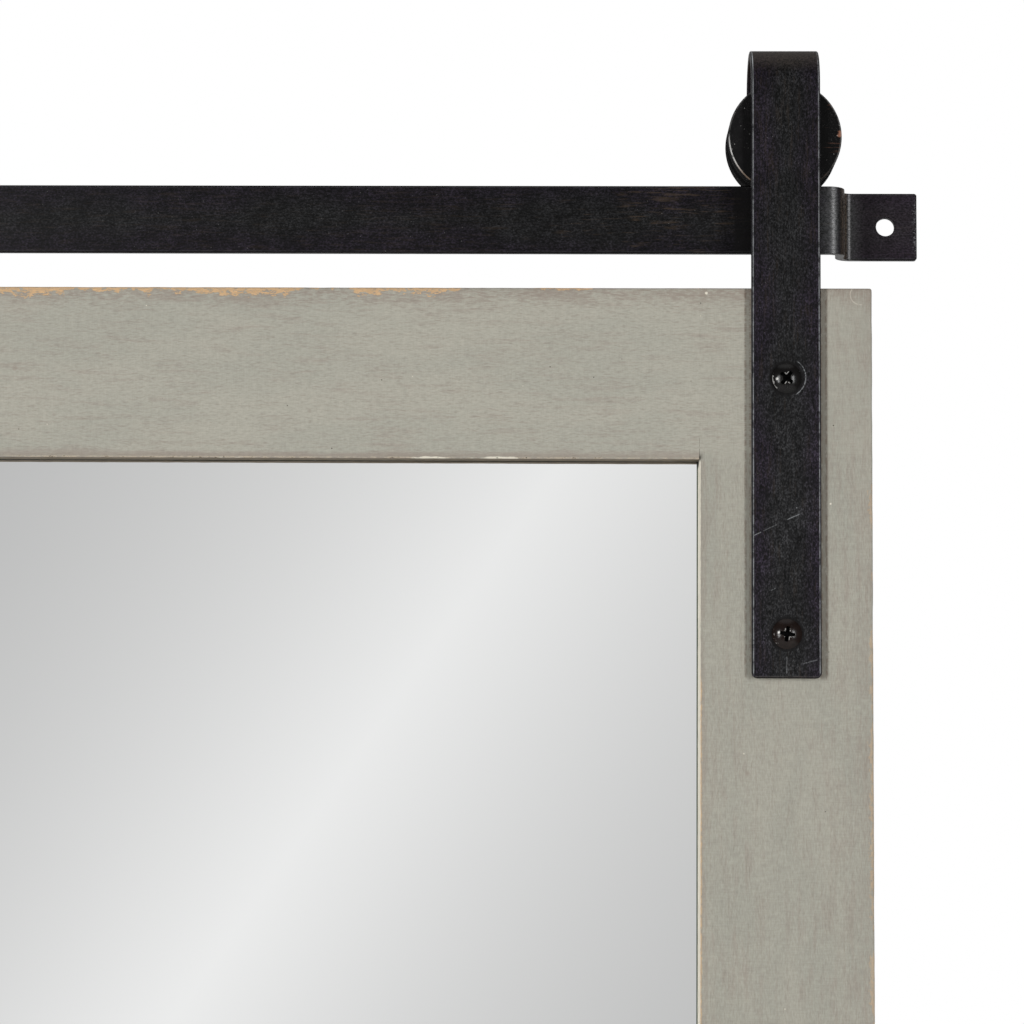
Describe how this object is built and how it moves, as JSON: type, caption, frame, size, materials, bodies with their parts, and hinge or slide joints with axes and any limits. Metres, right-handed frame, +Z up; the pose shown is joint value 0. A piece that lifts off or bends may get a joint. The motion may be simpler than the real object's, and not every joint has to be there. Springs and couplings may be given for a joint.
{
  "type": "wall mirror on a rail",
  "caption": "Framed wall mirror that hangs by hooked steel straps and grooved rollers from a flat steel rail screwed to the wall.",
  "frame": {"origin": "on the wall plane, midway between the rail's two screw holes", "axes": "+X to the right along the rail, +Y into the wall, +Z up"},
  "size_m": [0.5978, 0.0332, 0.8531],
  "materials": {
    "black_steel": "blackened flat bar, satin, rubbed along the edges",
    "roller_black": "turned and blackened, satin",
    "bush_bronze": "oiled bronze sleeve",
    "axle_steel": "turned steel",
    "washer_nylon": "plain nylon",
    "screw_black": "blackened, rubbed bright on the recess",
    "painted_wood": "brushed grey paint, worn to the wood along the edges",
    "dowel_wood": "bare beech",
    "mirror_glass": "silvered float glass, plain edge",
    "board_brown": "bare hardboard",
    "point_steel": "stamped sheet",
    "bumper_rubber": "matte"
  },
  "bodies": {
    "rail": {"wall_rail": "black_steel"},
    "mirror": {"left_strap": "black_steel", "right_strap": "black_steel", "left_axle": "axle_steel", "left_front_washer": "washer_nylon", "left_rear_washer": "washer_nylon", "left_upper_screw": "screw_black", "left_lower_screw": "screw_black", "left_stile": "painted_wood", "left_bumper": "bumper_rubber", "left_glazing_point_1": "point_steel", "left_glazing_point_2": "point_steel", "left_glazing_point_3": "point_steel", "right_axle": "axle_steel", "right_front_washer": "washer_nylon", "right_rear_washer": "washer_nylon", "right_upper_screw": "screw_black", "right_lower_screw": "screw_black", "right_stile": "painted_wood", "right_bumper": "bumper_rubber", "right_glazing_point_1": "point_steel", "right_glazing_point_2": "point_steel", "right_glazing_point_3": "point_steel", "top_rail": "painted_wood", "top_glazing_point_1": "point_steel", "top_glazing_point_2": "point_steel", "top_left_upper_dowel": "dowel_wood", "top_left_lower_dowel": "dowel_wood", "top_right_upper_dowel": "dowel_wood", "top_right_lower_dowel": "dowel_wood", "bottom_rail": "painted_wood", "bottom_glazing_point_1": "point_steel", "bottom_glazing_point_2": "point_steel", "bottom_left_upper_dowel": "dowel_wood", "bottom_left_lower_dowel": "dowel_wood", "bottom_right_upper_dowel": "dowel_wood", "bottom_right_lower_dowel": "dowel_wood", "mirror_pane": "mirror_glass", "backing_board": "board_brown"},
    "left_wheel": {"left_roller": "roller_black", "left_roller_bush": "bush_bronze"},
    "right_wheel": {"right_roller": "roller_black", "right_roller_bush": "bush_bronze"}
  },
  "joints": [
    {"name": "mirror_slide", "type": "slide", "parent": "rail", "child": "mirror", "axis": [1, 0, 0], "range_m": [-0.005, 0.005]},
    {"name": "left_roller_spin", "type": "hinge", "parent": "mirror", "child": "left_wheel", "pos_m": [-0.24765, -0.0158, 0.0295], "axis": [0, 1, 0], "range_deg": [-17.5, 17.5]},
    {"name": "right_roller_spin", "type": "hinge", "parent": "mirror", "child": "right_wheel", "pos_m": [0.24765, -0.0158, 0.0295], "axis": [0, 1, 0], "range_deg": [-17.5, 17.5]}
  ],
  "couplings": [
    {"joint": "left_roller_spin", "follows": "mirror_slide", "rad_per_m": 60.241},
    {"joint": "right_roller_spin", "follows": "mirror_slide", "rad_per_m": 60.241}
  ]
}
